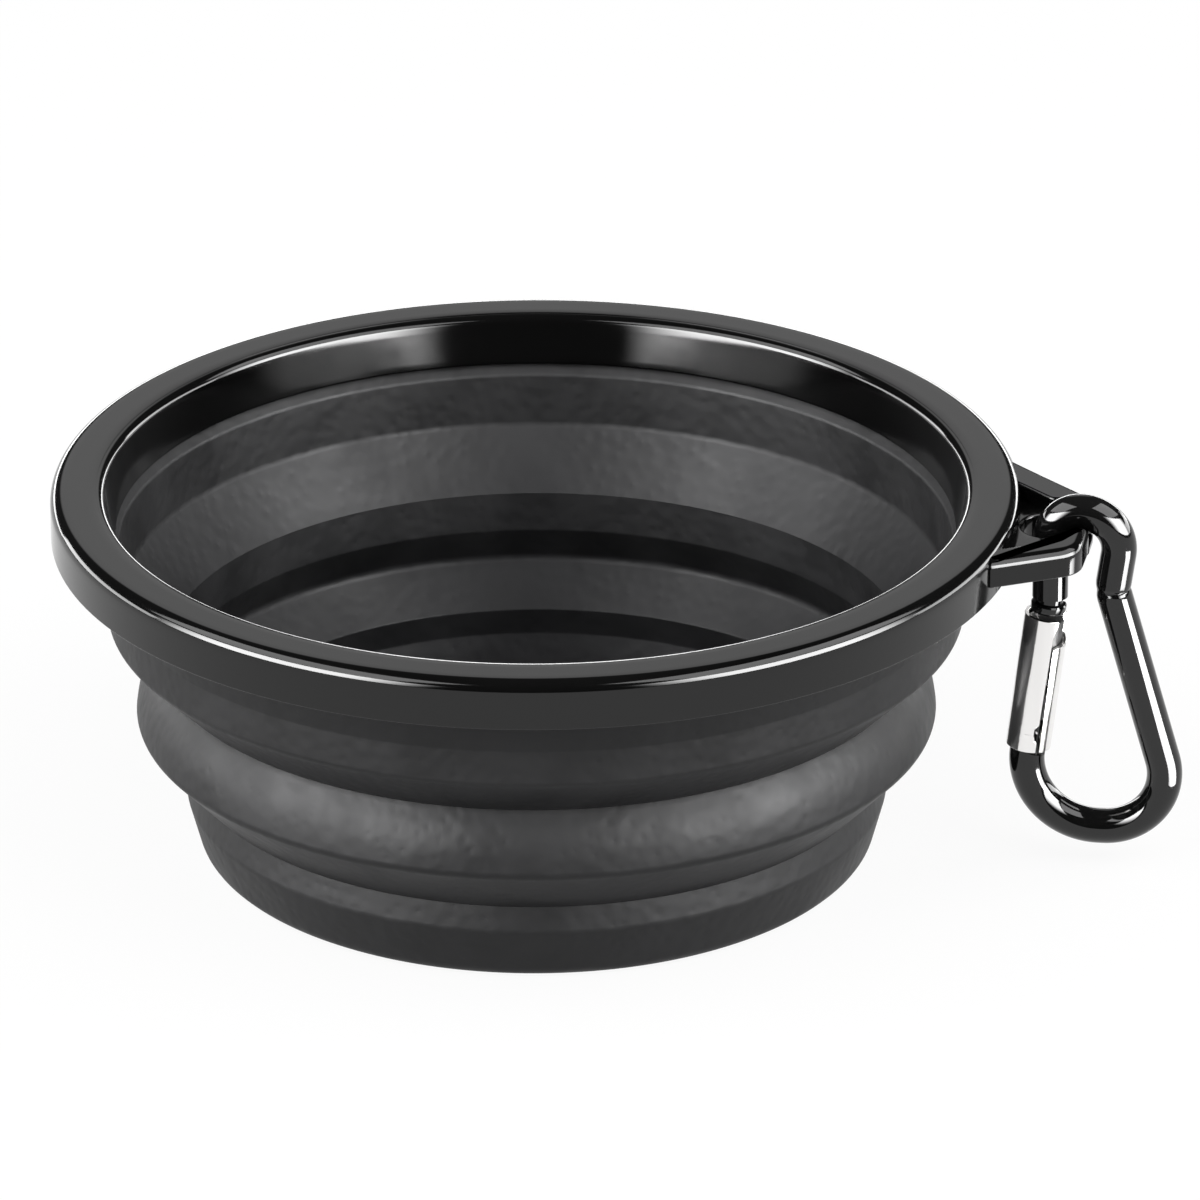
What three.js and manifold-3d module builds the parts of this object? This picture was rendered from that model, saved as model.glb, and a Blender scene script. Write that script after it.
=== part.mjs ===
// A collapsible travel bowl for a dog: a soft bowl that folds up into a stiff rim, with a spring clip
// that hangs from the rim's ear. Millimetres, +Z up, origin at the middle of the underside, +X to the right.
// The soft bowl is one moulding, parted here at its thin folds so that its bands can nest.

import * as THREE from 'three';
import { mergeVertices } from 'three/addons/utils/BufferGeometryUtils.js';
import Module from 'manifold-3d';

const wasm = await Module();
wasm.setup();

// Fineness of round faces
const RING_SEGMENTS = 56;
const FILLET_STEPS = 2;
const HOLE_SEGMENTS = 24;
const PIN_SEGMENTS = 16;
const WIRE_STEPS = 72;
const WIRE_SIDES = 12;
const MERGE_TOLERANCE = 1e-4;

// Gaps between pieces
const SEAT_GAP = 0.3;
const UPPER_NEST_CLEARANCE = 1.4;
const LOWER_NEST_CLEARANCE = 1.9;
const SLIDE_GAP = 0.3;
const PIN_CLEARANCE = 0.2;

// Rim: its outer radius sets the width of the whole bowl
const RIM_RADIUS = 65.0;
const RIM_HEIGHT = 6.6;
const RIM_TOP_WIDTH = 5.6;
const RIM_TOP_THICKNESS = 1.8;
const RIM_WALL = 1.0;
const SKIRT_WALL = 1.8;
const SKIRT_EDGE_ROUND = 0.5;
const SHOULDER_ROUND = 1.7;
const MOUTH_STEP = 0.15;
const MOUTH_SLOPE = 3.1;
const LIP_WIDTH = 1.5;
const LIP_ROUND = 1.2;
const WALL_TIP_ROUND = 0.25;
const LOCK_RING_LIP = 1.3;
const LOCK_RING_WALL = 1.5;

// Soft bowl: heights from the ground up, measured on the outside
const FLOOR_THICKNESS = 2.6;
const BASE_RIDGE_HEIGHT = 7.5;
const BASE_HEIGHT = 11.0;
const LOWER_FOLD_HEIGHT = 7.6;
const MIDDLE_BAND_HEIGHT = 8.4;
const UPPER_FOLD_HEIGHT = 6.5;
const UPPER_BAND_HEIGHT = 11.5;
const FLARE_HEIGHT = 6.5;

// Soft bowl: walls, and steps from one radius to the next
const UPPER_BAND_INSET = 7.3;
const UPPER_BAND_WALL = 2.1;
const MIDDLE_BAND_FLARE = 3.2;
const MIDDLE_SHOULDER_INSET = 0.7;
const MIDDLE_SHOULDER_DROP = 3.7;
const CREASE_WALL = 1.5;
const BASE_RIDGE_WALL = 1.9;
const BASE_CREASE_DEPTH = 0.6;
const FOOT_INSET = 2.0;

// Soft bowl: where the inner face bends, next to the bends outside
const CREST_DROP = 3.0;
const CREST_LEAN = 0.4;
const UPPER_CORNER_RISE = 2.5;
const UPPER_EDGE_RISE = 0.9;
const UPPER_EDGE_LEAN = 0.4;
const MIDDLE_EDGE_RISE = 3.8;
const MIDDLE_CORNER_DROP = 1.0;
const LOWER_EDGE_RISE = 1.0;
const BASE_CORNER_RISE = 0.8;

// Soft bowl: rounded bends, and how far each band reaches round its bend before the thin fold begins
const FOOT_ROUND = 2.2;
const SHOULDER_BEND = 1.0;
const RIDGE_BEND = 0.5;
const CREASE_BEND = 0.25;
const RIDGE_REACH = 1.2;
const CORNER_REACH = 0.6;
const CREASE_REACH = 0.6;

// Bead that the rim holds the soft bowl by
const NECK_WALL = 1.4;
const BEAD_HEIGHT = 2.7;

// Ear on the rim, seen from above with its own axis along X: its back is cut away more than its front
const EAR_AZIMUTH = -7.8;
const EAR_RISE = 2.0;
const EAR_REACH = 10.0;
const EAR_TIP_BULGE = 0.9;
const EAR_FRONT_HALF_WIDTH = 11.9;
const EAR_FRONT_TAPER = 0.46;
const EAR_BACK_HALF_WIDTH = 5.1;
const EAR_BACK_TAPER = 0.95;
const EAR_FRONT_ROUND = 4.0;
const EAR_BACK_ROUND = 2.5;
const EAR_BULGE_ROUND = 14;
const EAR_THICKNESS = 3.9;
const EAR_EDGE_ROUND = 0.5;
const EAR_FRONT_BORDER = 3.5;
const EAR_BACK_BORDER = 5.7;
const EAR_RECESS_ROUND = 1.5;
const EAR_WEB = 1.6;
const EAR_BRIDGE = 2.2;
const EAR_BRIDGE_THICKNESS = 1.0;
const EAR_SEAT_HALF_WIDTH = 4.3;
const EAR_HOLE_LENGTH = 7.5;
const EAR_HOLE_WIDTH = 8.0;
const EAR_HOLE_SHIFT = 0.3;
const EAR_COLLAR_WALL = 1.0;
const EAR_COLLAR_DEPTH = 1.8;
const CUT_OVERRUN = 1.0;

// Clip: a bent wire, seen from the front with the centre of its small loop at the origin
const WIRE_RADIUS = 2.4;
const LOOP_RADIUS = 4.6;
const LOOP_REST_GAP = 0.6;
const NOSE_LEAN = 0.2;
const NOSE_DROP = 10.0;
const NOSE_HEAD = 1.3;
const NOSE_GROOVE = 0.9;
const NOSE_NECK_RADIUS = 1.8;
const WAIST_PINCH = 0.8;
const WAIST_DROP = 6.35;
const WAIST_ROUND = 2.5;
const SPINE_LEAN = 16.4;
const CLIP_DROP = 41.5;
const BEND_SHARE = 0.97;

// Gate: a rolled sleeve that turns on a pin across the wire's tongue
const GATE_LEAN = 6.5;
const GATE_LENGTH = 19.5;
const GATE_RADIUS = 3.05;
const GATE_WALL = 0.5;
const GATE_NOSE_GAP = 0.45;
const GATE_SHOULDER_GAP = 0.35;
const GATE_OPENING = 16;
const GATE_SEAM = 0.9;
const GATE_SEAM_AZIMUTH = -55;
const PIVOT_INSET = 2.0;
const PIN_RADIUS = 0.8;
const TONGUE_HALF_WIDTH = 1.4;
const TONGUE_HALF_DEPTH = 1.3;
const TONGUE_TIP = 2.2;
const PLUNGER_LENGTH = 3.5;
const PLUG_LENGTH = 1.3;
const PLUG_INSET = 1.7;
const SPRING_TURNS = 7;
const SPRING_WIRE_RADIUS = 0.28;
const SPRING_SIDES = 5;
const SPRING_STEPS_PER_TURN = 8;

const { degToRad } = THREE.MathUtils;

// Materials
const glossBlack = new THREE.MeshStandardMaterial({ color: 0x121212, roughness: 0.18, metalness: 0.0 });
const darkPlastic = new THREE.MeshStandardMaterial({ color: 0x1a1a1a, roughness: 0.5, metalness: 0.0 });
const softGrey = new THREE.MeshStandardMaterial({ color: 0x3a3b3e, roughness: 0.75, metalness: 0.0 });
const blackAnodised = new THREE.MeshStandardMaterial({ color: 0x0c0c0d, roughness: 0.15, metalness: 0.4 });
const polishedAluminium = new THREE.MeshStandardMaterial({ color: 0xd8d6d4, roughness: 0.2, metalness: 1 });
const steel = new THREE.MeshStandardMaterial({ color: 0x9a9a9c, roughness: 0.3, metalness: 1.0 });

// Geometry helpers

function signedVolume(geometry) {
  const position = geometry.getAttribute('position');
  const index = geometry.index.array;
  const [a, b, c] = [new THREE.Vector3(), new THREE.Vector3(), new THREE.Vector3()];
  let volume = 0;
  for (let i = 0; i < index.length; i += 3) {
    a.fromBufferAttribute(position, index[i]);
    b.fromBufferAttribute(position, index[i + 1]);
    c.fromBufferAttribute(position, index[i + 2]);
    volume += a.dot(b.cross(c)) / 6;
  }
  return volume;
}

// One closed skin with shared corners and outward faces.
function closedSkin(geometry) {
  const bare = new THREE.BufferGeometry();
  bare.setAttribute('position', geometry.getAttribute('position'));
  bare.setIndex(geometry.index);
  const merged = mergeVertices(bare, MERGE_TOLERANCE);
  const source = merged.index.array;
  const corners = [];
  for (let i = 0; i < source.length; i += 3) {
    const [a, b, c] = source.slice(i, i + 3);
    if (a !== b && b !== c && c !== a) {
      corners.push(a, b, c);
    }
  }
  merged.setIndex(corners);
  if (signedVolume(merged) < 0) {
    merged.setIndex(corners.reverse());
  }
  return merged;
}

function toSolid(geometry) {
  const skin = closedSkin(geometry);
  const vertProperties = new Float32Array(skin.getAttribute('position').array);
  const triVerts = new Uint32Array(skin.index.array);
  return new wasm.Manifold(new wasm.Mesh({ numProp: 3, vertProperties, triVerts }));
}

function toGeometry(solid) {
  const { vertProperties, triVerts } = solid.getMesh();
  const geometry = new THREE.BufferGeometry();
  geometry.setAttribute('position', new THREE.Float32BufferAttribute(vertProperties, 3));
  geometry.setIndex(Array.from(triVerts));
  return geometry;
}

function combine(base, added, removed) {
  let solid = toSolid(base);
  for (const piece of added) {
    solid = solid.add(toSolid(piece));
  }
  for (const piece of removed) {
    solid = solid.subtract(toSolid(piece));
  }
  return toGeometry(solid);
}

// Corners [x, y, round] joined by straight lines, with each rounded corner drawn as an arc.
function roundedOutline(corners) {
  const points = [];
  corners.forEach(([x, y, round = 0], i) => {
    const corner = new THREE.Vector2(x, y);
    if (round === 0) {
      points.push(corner);
      return;
    }
    const last = corners.at(i - 1);
    const next = corners[(i + 1) % corners.length];
    const back = new THREE.Vector2(last[0], last[1]).sub(corner).normalize();
    const ahead = new THREE.Vector2(next[0], next[1]).sub(corner).normalize();
    const half = back.angleTo(ahead) / 2;
    const middle = back.clone().add(ahead).setLength(round / Math.sin(half)).add(corner);
    const from = back.clone().setLength(round / Math.tan(half)).add(corner).sub(middle);
    const sweep = Math.sign(ahead.cross(back)) * (Math.PI - 2 * half);
    const steps = Math.max(FILLET_STEPS, Math.ceil((round * Math.abs(sweep)) / WIRE_RADIUS * FILLET_STEPS));
    for (let k = 0; k <= steps; k += 1) {
      const spoke = from.clone().rotateAround(new THREE.Vector2(), (sweep * k) / steps);
      points.push(spoke.add(middle));
    }
  });
  return points;
}

// A closed profile of [radius, height, round] corners turned about the Z axis.
function turnedRing(corners) {
  const points = roundedOutline(corners);
  points.push(points[0].clone());
  return closedSkin(new THREE.LatheGeometry(points, RING_SEGMENTS).rotateX(Math.PI / 2));
}

// A profile that starts and ends on the Z axis.
function turnedDisc(corners) {
  return closedSkin(new THREE.LatheGeometry(roundedOutline(corners), RING_SEGMENTS).rotateX(Math.PI / 2));
}

// A plan outline raised from one height to another, with its edges rounded by up to edgeRound.
function raisedPlan(outline, low, high, edgeRound = 0) {
  const shape = new THREE.Shape(outline);
  const options = {
    depth: high - low - 2 * edgeRound,
    bevelEnabled: edgeRound > 0,
    bevelThickness: edgeRound,
    bevelSize: edgeRound,
    bevelOffset: -edgeRound,
    bevelSegments: 2,
  };
  return new THREE.ExtrudeGeometry(shape, options).translate(0, 0, low + edgeRound);
}

// A cylinder standing on the Z axis from one height to another.
function upright(radius, low, high, segments = PIN_SEGMENTS) {
  const cylinder = new THREE.CylinderGeometry(radius, radius, high - low, segments);
  return cylinder.rotateX(Math.PI / 2).translate(0, 0, (low + high) / 2);
}

// A cylinder along the Y axis, centred on the origin.
function crossPin(radius, length) {
  return new THREE.CylinderGeometry(radius, radius, length, PIN_SEGMENTS);
}

// A straight lathe-cut point on the line from one [radius, height] point towards another.
function along(from, to, distance) {
  const span = Math.hypot(to[0] - from[0], to[1] - from[1]);
  const share = distance / span;
  return [from[0] + (to[0] - from[0]) * share, from[1] + (to[1] - from[1]) * share];
}

function part(name, geometry, material) {
  const mesh = new THREE.Mesh(geometry, material);
  mesh.name = name;
  return mesh;
}

// Heights and radii of the soft bowl's outer and inner faces

const lowerCreaseZ = BASE_HEIGHT;
const middleRidgeZ = lowerCreaseZ + LOWER_FOLD_HEIGHT;
const upperCreaseZ = middleRidgeZ + MIDDLE_BAND_HEIGHT;
const upperRidgeZ = upperCreaseZ + UPPER_FOLD_HEIGHT;
const skirtZ = upperRidgeZ + UPPER_BAND_HEIGHT;
const rimTopZ = skirtZ + RIM_HEIGHT;

const upperBandRadius = RIM_RADIUS - UPPER_BAND_INSET;
const upperInnerRadius = upperBandRadius - UPPER_BAND_WALL;
const middleRidgeRadius = upperInnerRadius - UPPER_NEST_CLEARANCE;
const upperCreaseRadius = middleRidgeRadius - MIDDLE_BAND_FLARE;
const middleInnerRadius = upperCreaseRadius - CREASE_WALL;
const baseRidgeRadius = middleInnerRadius - LOWER_NEST_CLEARANCE;
const lowerCreaseRadius = baseRidgeRadius - BASE_CREASE_DEPTH;
const footRadius = baseRidgeRadius - FOOT_INSET;

const outer = {
  flare: [upperBandRadius, skirtZ - FLARE_HEIGHT],
  upperRidge: [upperBandRadius, upperRidgeZ],
  upperCrease: [upperCreaseRadius, upperCreaseZ],
  middleShoulder: [middleRidgeRadius - MIDDLE_SHOULDER_INSET, upperCreaseZ - MIDDLE_SHOULDER_DROP],
  middleRidge: [middleRidgeRadius, middleRidgeZ],
  lowerCrease: [lowerCreaseRadius, lowerCreaseZ],
  baseRidge: [baseRidgeRadius, BASE_RIDGE_HEIGHT],
};

const inner = {
  crest: [upperInnerRadius + CREST_LEAN, skirtZ - CREST_DROP],
  upperCorner: [upperInnerRadius, upperRidgeZ + UPPER_CORNER_RISE],
  upperEdge: [middleInnerRadius + UPPER_EDGE_LEAN, upperCreaseZ + UPPER_EDGE_RISE],
  middleEdge: [middleInnerRadius, middleRidgeZ + MIDDLE_EDGE_RISE],
  middleCorner: [middleInnerRadius + CREASE_WALL, middleRidgeZ - MIDDLE_CORNER_DROP],
  lowerEdge: [lowerCreaseRadius - CREASE_WALL, lowerCreaseZ + LOWER_EDGE_RISE],
  baseCorner: [baseRidgeRadius - BASE_RIDGE_WALL, BASE_RIDGE_HEIGHT + BASE_CORNER_RISE],
  floorEdge: [footRadius - BASE_RIDGE_WALL, FLOOR_THICKNESS],
};

// Rim channel: the inner wall leans, and the soft bowl's bead stands in the channel behind it

const mouthRadius = RIM_RADIUS - RIM_TOP_WIDTH;
const mouthWallTop = [mouthRadius - LIP_WIDTH, rimTopZ - LIP_WIDTH];
const mouthWallFoot = [mouthRadius - MOUTH_SLOPE, skirtZ - SEAT_GAP];
const channelTopZ = rimTopZ - RIM_TOP_THICKNESS;

function mouthWallRadius(z) {
  const share = (z - mouthWallFoot[1]) / (mouthWallTop[1] - mouthWallFoot[1]);
  return mouthWallFoot[0] + share * (mouthWallTop[0] - mouthWallFoot[0]);
}

function neckInnerRadius(z) {
  return mouthWallRadius(z) + RIM_WALL + SEAT_GAP;
}

const beadTopZ = channelTopZ - SEAT_GAP;
const beadFootZ = beadTopZ - BEAD_HEIGHT;
const neckOuterRadius = neckInnerRadius(skirtZ) + NECK_WALL;
const channelOuterRadius = RIM_RADIUS - SKIRT_WALL;
const lockRingOuterRadius = channelOuterRadius - SEAT_GAP;
const lockRingInnerRadius = lockRingOuterRadius - LOCK_RING_WALL;
const beadOuterRadius = lockRingInnerRadius - SEAT_GAP;

// Soft bowl

function upperBand() {
  const neckFootZ = mouthWallFoot[1] - SEAT_GAP;
  return turnedRing([
    [neckOuterRadius, skirtZ],
    outer.flare,
    [...outer.upperRidge, RIDGE_BEND],
    along(outer.upperRidge, outer.upperCrease, RIDGE_REACH),
    along(inner.upperCorner, inner.upperEdge, CORNER_REACH),
    inner.upperCorner,
    [...inner.crest, SHOULDER_BEND],
    [neckInnerRadius(skirtZ), neckFootZ],
    [neckInnerRadius(skirtZ), skirtZ],
    [neckInnerRadius(beadTopZ), beadTopZ],
    [beadOuterRadius, beadTopZ],
    [beadOuterRadius, beadFootZ],
    [neckOuterRadius, beadFootZ],
  ]);
}

function upperFold() {
  return turnedRing([
    along(outer.upperRidge, outer.upperCrease, RIDGE_REACH + SEAT_GAP),
    along(outer.upperCrease, outer.upperRidge, CREASE_REACH + SEAT_GAP),
    along(inner.upperEdge, inner.upperCorner, CREASE_REACH + SEAT_GAP),
    along(inner.upperCorner, inner.upperEdge, CORNER_REACH + SEAT_GAP),
  ]);
}

function middleBand() {
  return turnedRing([
    along(outer.upperCrease, outer.upperRidge, CREASE_REACH),
    outer.upperCrease,
    [...outer.middleShoulder, SHOULDER_BEND],
    [...outer.middleRidge, RIDGE_BEND],
    along(outer.middleRidge, outer.lowerCrease, RIDGE_REACH),
    along(inner.middleCorner, inner.lowerEdge, CORNER_REACH),
    inner.middleCorner,
    inner.middleEdge,
    [...inner.upperEdge, CREASE_BEND],
    along(inner.upperEdge, inner.upperCorner, CREASE_REACH),
  ]);
}

function lowerFold() {
  return turnedRing([
    along(outer.middleRidge, outer.lowerCrease, RIDGE_REACH + SEAT_GAP),
    along(outer.lowerCrease, outer.middleRidge, CREASE_REACH + SEAT_GAP),
    along(inner.lowerEdge, inner.middleCorner, CREASE_REACH + SEAT_GAP),
    along(inner.middleCorner, inner.lowerEdge, CORNER_REACH + SEAT_GAP),
  ]);
}

function baseCup() {
  return turnedDisc([
    [0, 0],
    [footRadius, 0, FOOT_ROUND],
    [...outer.baseRidge, SHOULDER_BEND],
    outer.lowerCrease,
    along(outer.lowerCrease, outer.middleRidge, CREASE_REACH),
    along(inner.lowerEdge, inner.middleCorner, CREASE_REACH),
    [...inner.lowerEdge, CREASE_BEND],
    inner.baseCorner,
    [...inner.floorEdge, FOOT_ROUND],
    [0, FLOOR_THICKNESS],
  ]);
}

// Rim with its ear, and the ring that locks the soft bowl's bead into it

const earLowZ = skirtZ + EAR_RISE;
const earWebZ = earLowZ + EAR_WEB;
const earSeatZ = earLowZ + EAR_BRIDGE_THICKNESS;
const earHighZ = earLowZ + EAR_THICKNESS;
const earTipX = RIM_RADIUS + EAR_REACH;
const earCornerX = earTipX - EAR_TIP_BULGE;
const earRootX = RIM_RADIUS - EAR_REACH / 2;
const bridgeX = earTipX - EAR_BRIDGE / 2;
const holeEndX = earTipX - EAR_BRIDGE;

function rimRing() {
  return turnedRing([
    [RIM_RADIUS, skirtZ, SKIRT_EDGE_ROUND],
    [RIM_RADIUS, rimTopZ, SHOULDER_ROUND],
    [mouthRadius, rimTopZ],
    [mouthRadius, rimTopZ - MOUTH_STEP],
    [mouthRadius - LIP_WIDTH, rimTopZ - MOUTH_STEP, LIP_ROUND],
    [...mouthWallFoot, WALL_TIP_ROUND],
    [mouthWallFoot[0] + RIM_WALL, mouthWallFoot[1]],
    [mouthWallRadius(channelTopZ) + RIM_WALL, channelTopZ],
    [channelOuterRadius, channelTopZ],
    [channelOuterRadius, skirtZ],
  ]);
}

// How far the ear's straight front and back sides stand from its axis at a distance from the bowl's middle.
function earFront(x) {
  return EAR_FRONT_HALF_WIDTH + (earCornerX - x) * EAR_FRONT_TAPER;
}

function earBack(x) {
  return EAR_BACK_HALF_WIDTH + (earCornerX - x) * EAR_BACK_TAPER;
}

function earPlan() {
  return roundedOutline([
    [earRootX, -earFront(earRootX)],
    [earCornerX, -earFront(earCornerX), EAR_FRONT_ROUND],
    [earTipX, 0, EAR_BULGE_ROUND],
    [earCornerX, earBack(earCornerX), EAR_BACK_ROUND],
    [earRootX, earBack(earRootX)],
  ]);
}

// The recess in the ear narrows towards its tip and runs out over it, where the clip's loop rests.
function earRecessPlan() {
  const frontBendX = holeEndX - EAR_RECESS_ROUND;
  const backBorderSpan = EAR_SEAT_HALF_WIDTH + EAR_BACK_BORDER - EAR_BACK_HALF_WIDTH;
  const backBendX = earCornerX - backBorderSpan / EAR_BACK_TAPER;
  const pastTipX = earTipX + EAR_REACH;
  return roundedOutline([
    [earRootX, -earFront(earRootX) + EAR_FRONT_BORDER],
    [frontBendX, -earFront(frontBendX) + EAR_FRONT_BORDER, EAR_RECESS_ROUND],
    [holeEndX, -EAR_SEAT_HALF_WIDTH, EAR_RECESS_ROUND],
    [pastTipX, -EAR_SEAT_HALF_WIDTH],
    [pastTipX, EAR_SEAT_HALF_WIDTH],
    [backBendX, EAR_SEAT_HALF_WIDTH, EAR_RECESS_ROUND],
    [earRootX, earBack(earRootX) - EAR_BACK_BORDER],
  ]);
}

// The bridge between the hole and the ear's tip is thinner than the rest of the web: the loop rocks on it.
function earSeat() {
  const length = 2 * EAR_REACH;
  const seat = new THREE.BoxGeometry(length, 2 * EAR_SEAT_HALF_WIDTH, earHighZ - earSeatZ);
  return seat.translate(holeEndX - WIRE_RADIUS + length / 2, 0, (earHighZ + earSeatZ) / 2);
}

// The ear's hole, or the outline of a wall round it.
function earHolePlan(wall = 0) {
  const middleX = holeEndX - EAR_HOLE_LENGTH / 2;
  const halfLength = EAR_HOLE_LENGTH / 2 + wall;
  const halfWidth = EAR_HOLE_WIDTH / 2 + wall;
  const ellipse = new THREE.EllipseCurve(middleX, EAR_HOLE_SHIFT, halfLength, halfWidth);
  return ellipse.getPoints(HOLE_SEGMENTS).slice(0, -1);
}

function rimFrame() {
  const rootCut = upright(RIM_RADIUS - SKIRT_WALL / 2, skirtZ - CUT_OVERRUN, rimTopZ, RING_SEGMENTS);
  const plate = raisedPlan(earPlan(), earLowZ, earHighZ, EAR_EDGE_ROUND);
  const collar = raisedPlan(earHolePlan(EAR_COLLAR_WALL), earLowZ - EAR_COLLAR_DEPTH, earLowZ + EAR_WEB / 2);
  const recess = raisedPlan(earRecessPlan(), earWebZ, rimTopZ);
  const hole = raisedPlan(earHolePlan(), skirtZ - CUT_OVERRUN, rimTopZ);
  const ear = combine(plate, [collar], [rootCut, recess, earSeat(), hole]);
  return combine(rimRing(), [ear.rotateZ(degToRad(EAR_AZIMUTH))], []);
}

function lockRing() {
  const lipInner = neckOuterRadius + SEAT_GAP;
  return turnedRing([
    [lipInner, skirtZ],
    [lockRingOuterRadius, skirtZ],
    [lockRingOuterRadius, channelTopZ - SEAT_GAP],
    [lockRingInnerRadius, channelTopZ - SEAT_GAP],
    [lockRingInnerRadius, skirtZ + LOCK_RING_LIP],
    [lipInner, skirtZ + LOCK_RING_LIP],
  ]);
}

// Clip, in a frame with its origin at the centre of the small loop, X outward from the bowl and Z up

const clipAxisZ = earSeatZ + LOOP_REST_GAP - (LOOP_RADIUS - WIRE_RADIUS);
const gateDirection = new THREE.Vector2(Math.sin(degToRad(GATE_LEAN)), Math.cos(degToRad(GATE_LEAN)));
const noseEnd = new THREE.Vector2(-LOOP_RADIUS - NOSE_LEAN, -NOSE_DROP);
const gateMouth = noseEnd.clone().addScaledVector(gateDirection, -GATE_NOSE_GAP);
const gateFoot = gateMouth.clone().addScaledVector(gateDirection, -GATE_LENGTH);
const pivot = gateFoot.clone().addScaledVector(gateDirection, PIVOT_INSET);
const shoulder = gateFoot.clone().addScaledVector(gateDirection, -GATE_SHOULDER_GAP);

// Places a piece built about the gate's pivot, with Z along the gate, in the clip's frame.
const gateMatrix = new THREE.Matrix4()
  .makeTranslation(pivot.x, 0, pivot.y)
  .multiply(new THREE.Matrix4().makeRotationY(degToRad(GATE_LEAN)));

// Where a leg that runs up from a point, as a tangent of the loop, meets the tangent over the loop's top.
function loopCorner([x, y], side) {
  const slope = Math.atan2(-y, -x) + side * Math.asin(LOOP_RADIUS / Math.hypot(x, y));
  return [x + (LOOP_RADIUS - y) / Math.tan(slope), LOOP_RADIUS, LOOP_RADIUS];
}

// The two bends at the clip's foot take up nearly all of the straight runs between them.
function wireCorners() {
  const waist = [LOOP_RADIUS - WAIST_PINCH, -WAIST_DROP];
  const spineFootX = waist[0] + (CLIP_DROP - WAIST_DROP) * Math.tan(degToRad(SPINE_LEAN));
  const gateFootX = shoulder.x - (shoulder.y + CLIP_DROP) * Math.tan(degToRad(GATE_LEAN));
  const gateLeg = (shoulder.y + CLIP_DROP) / Math.cos(degToRad(GATE_LEAN));
  const gateRound = BEND_SHARE * gateLeg * Math.tan(degToRad(45 - GATE_LEAN / 2));
  const spineLeg = spineFootX - gateFootX - gateLeg;
  const spineRound = BEND_SHARE * spineLeg * Math.tan(degToRad(45 - SPINE_LEAN / 2));
  const neckStart = noseEnd.clone().addScaledVector(gateDirection, NOSE_HEAD + NOSE_GROOVE);
  return [
    [neckStart.x, neckStart.y],
    loopCorner([neckStart.x, neckStart.y], 1),
    loopCorner(waist, -1),
    [...waist, WAIST_ROUND],
    [spineFootX, -CLIP_DROP, spineRound],
    [gateFootX, -CLIP_DROP, gateRound],
    [shoulder.x, shoulder.y],
  ];
}

function roundSection(radius, sides) {
  const circle = new THREE.EllipseCurve(0, 0, radius, radius);
  return new THREE.Shape(circle.getPoints(sides).slice(0, -1));
}

function bentWire() {
  const path = new THREE.CurvePath();
  const points = roundedOutline(wireCorners()).map((p) => new THREE.Vector3(p.x, 0, p.y));
  for (let i = 1; i < points.length; i += 1) {
    path.add(new THREE.LineCurve3(points[i - 1], points[i]));
  }
  const section = roundSection(WIRE_RADIUS, WIRE_SIDES);
  return new THREE.ExtrudeGeometry(section, { steps: WIRE_STEPS, extrudePath: path });
}

// The wire's nose: a groove and a head, standing in line with the gate just above its mouth.
function noseHead() {
  const headLow = GATE_LENGTH - PIVOT_INSET + GATE_NOSE_GAP;
  const neckHigh = headLow + NOSE_HEAD + NOSE_GROOVE + WIRE_RADIUS;
  const head = upright(WIRE_RADIUS, headLow, headLow + NOSE_HEAD).applyMatrix4(gateMatrix);
  const neck = upright(NOSE_NECK_RADIUS, headLow + NOSE_HEAD / 2, neckHigh).applyMatrix4(gateMatrix);
  return [head, neck];
}

// The wire's flat tongue reaches up inside the gate, and its shoulder is eased where the gate swings.
function tongue() {
  const low = -PIVOT_INSET - GATE_SHOULDER_GAP - WIRE_RADIUS;
  const blade = new THREE.BoxGeometry(2 * TONGUE_HALF_WIDTH, 2 * TONGUE_HALF_DEPTH, TONGUE_TIP - low);
  return blade.translate(0, 0, (TONGUE_TIP + low) / 2).applyMatrix4(gateMatrix);
}

function shoulderEase() {
  const size = 2 * GATE_RADIUS;
  const wedge = new THREE.BoxGeometry(2 * size, size, size);
  wedge.translate(size, 0, size / 2).rotateY(degToRad(GATE_OPENING));
  return wedge.translate(0, 0, -PIVOT_INSET - GATE_SHOULDER_GAP).applyMatrix4(gateMatrix);
}

function clipBody() {
  const wire = combine(bentWire(), [], [shoulderEase()]);
  const pinHole = crossPin(PIN_RADIUS + PIN_CLEARANCE, 4 * TONGUE_HALF_DEPTH).applyMatrix4(gateMatrix);
  return combine(wire, [tongue(), ...noseHead()], [pinHole]);
}

// Gate pieces, built about the pivot with Z along the gate

const boreRadius = GATE_RADIUS - GATE_WALL;
const gateTopZ = GATE_LENGTH - PIVOT_INSET;
const plungerLowZ = TONGUE_TIP + SEAT_GAP;
const plungerHighZ = plungerLowZ + PLUNGER_LENGTH;
const plugHighZ = gateTopZ - PLUG_INSET;
const plugLowZ = plugHighZ - PLUG_LENGTH;
const springLowZ = plungerHighZ + SEAT_GAP;
const springHighZ = plugLowZ - SEAT_GAP;

function gateSleeve() {
  const half = Math.asin(GATE_SEAM / 2 / GATE_RADIUS);
  const middle = degToRad(GATE_SEAM_AZIMUTH);
  const start = middle + half;
  const end = middle - half + 2 * Math.PI;
  const shape = new THREE.Shape();
  shape.absarc(0, 0, GATE_RADIUS, start, end, false);
  shape.absarc(0, 0, boreRadius, end, start, true);
  const options = { depth: GATE_LENGTH, bevelEnabled: false, curveSegments: HOLE_SEGMENTS / 2 };
  const tube = new THREE.ExtrudeGeometry(shape, options).translate(0, 0, -PIVOT_INSET);
  return combine(tube, [], [crossPin(PIN_RADIUS + PIN_CLEARANCE, 3 * GATE_RADIUS)]);
}

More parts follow.
